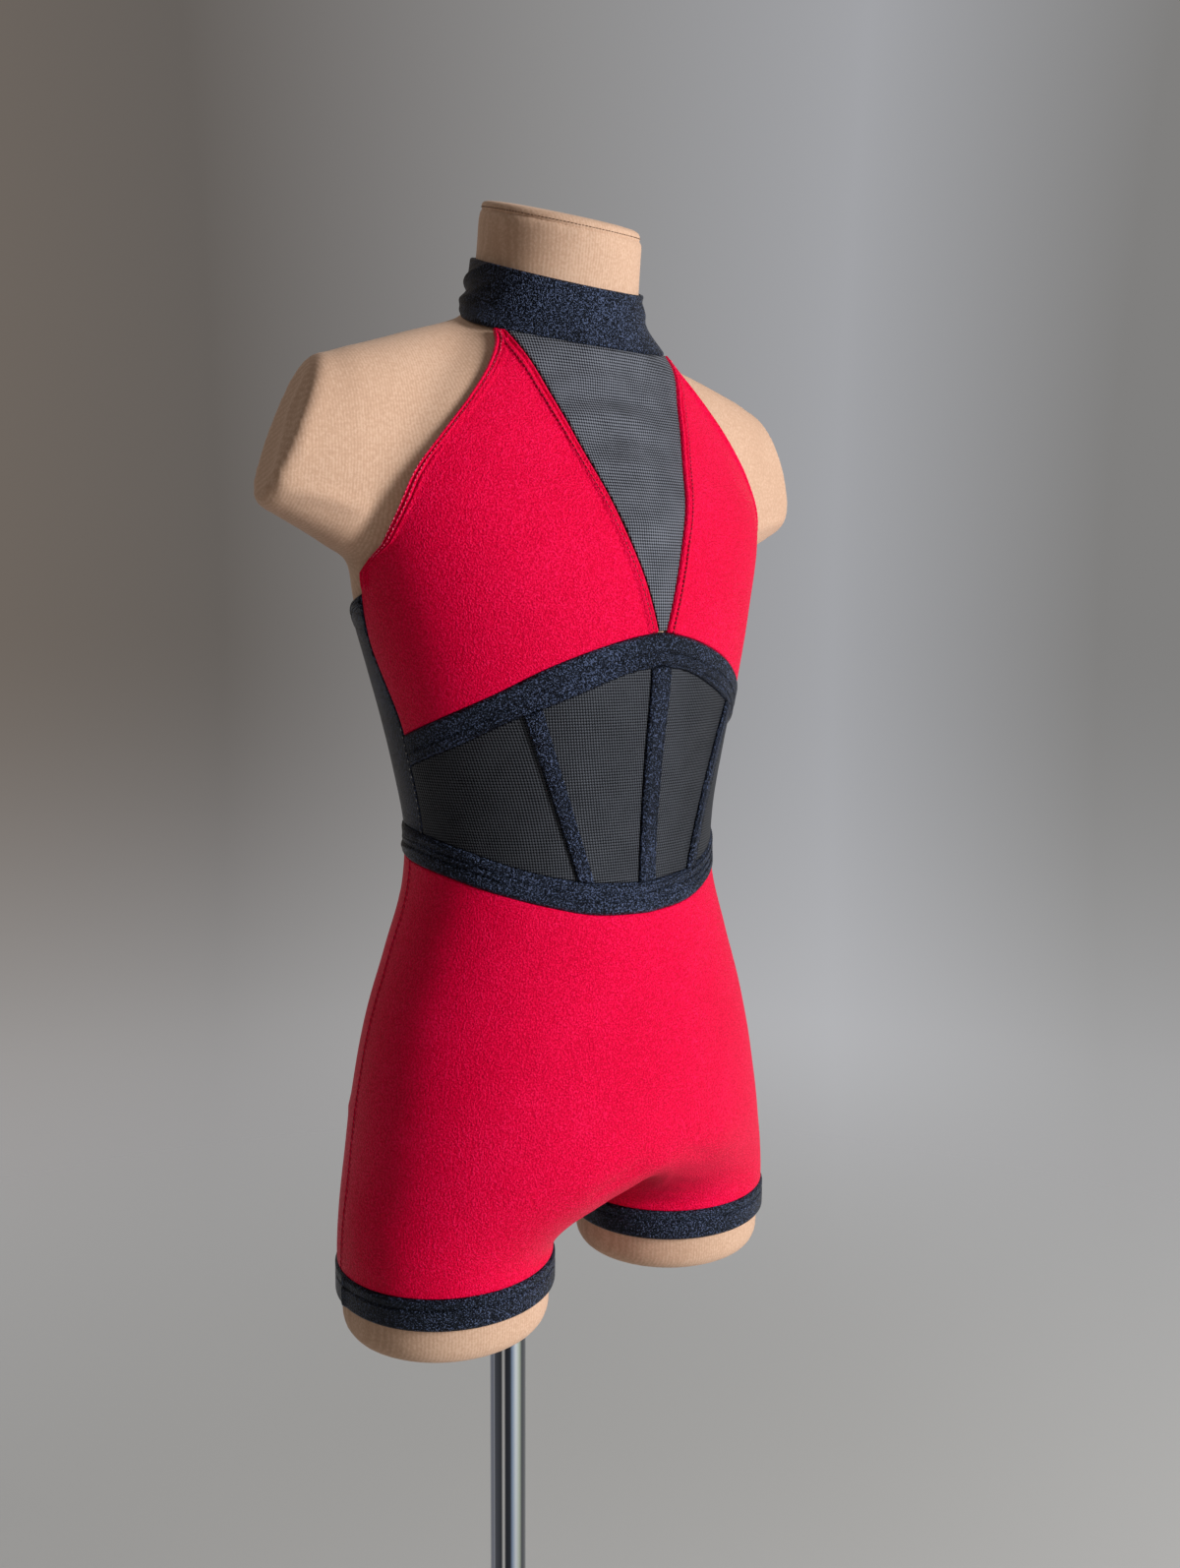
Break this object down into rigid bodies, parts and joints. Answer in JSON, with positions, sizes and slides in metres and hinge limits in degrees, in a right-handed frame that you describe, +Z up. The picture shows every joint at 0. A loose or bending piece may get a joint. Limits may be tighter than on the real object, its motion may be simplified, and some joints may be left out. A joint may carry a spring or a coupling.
{
  "type": "dance unitard on a dress form",
  "caption": "Sleeveless halter dance unitard with stand collar, mesh V insert, boned mesh bodice and short legs, on a limbless dress form with a pole and round base.",
  "frame": {"origin": "on the floor, on the pole's axis, at the middle of the base's underside", "axes": "+Z up, -Y towards the front of the garment, +X towards the wearer's left"},
  "size_m": [0.3742, 0.34, 1.1557],
  "materials": {
    "red_spandex": "shiny knit",
    "black_spandex": "shiny knit",
    "black_mesh": "fine power mesh",
    "form_jersey": "matte jersey",
    "chrome": "polished",
    "base_steel": "satin"
  },
  "bodies": {
    "root": {"collar": "black_spandex", "yoke_mesh": "black_mesh", "bust_left": "red_spandex", "bust_right": "red_spandex", "underbust_band": "black_spandex", "waistband": "black_spandex", "bodice_mesh_side_right": "black_mesh", "bodice_mesh_front_right": "black_mesh", "bodice_mesh_front_left": "black_mesh", "bodice_mesh_side_left": "black_mesh", "bone_channel_right": "black_spandex", "bone_channel_centre": "black_spandex", "bone_channel_left": "black_spandex", "back_panel": "black_spandex", "shorts_front": "red_spandex", "shorts_back": "red_spandex", "hem_band_left": "black_spandex", "hem_band_right": "black_spandex", "form_body": "form_jersey", "neck_cap": "form_jersey", "pole": "chrome", "pole_sleeve": "chrome", "base": "base_steel"}
  },
  "joints": []
}
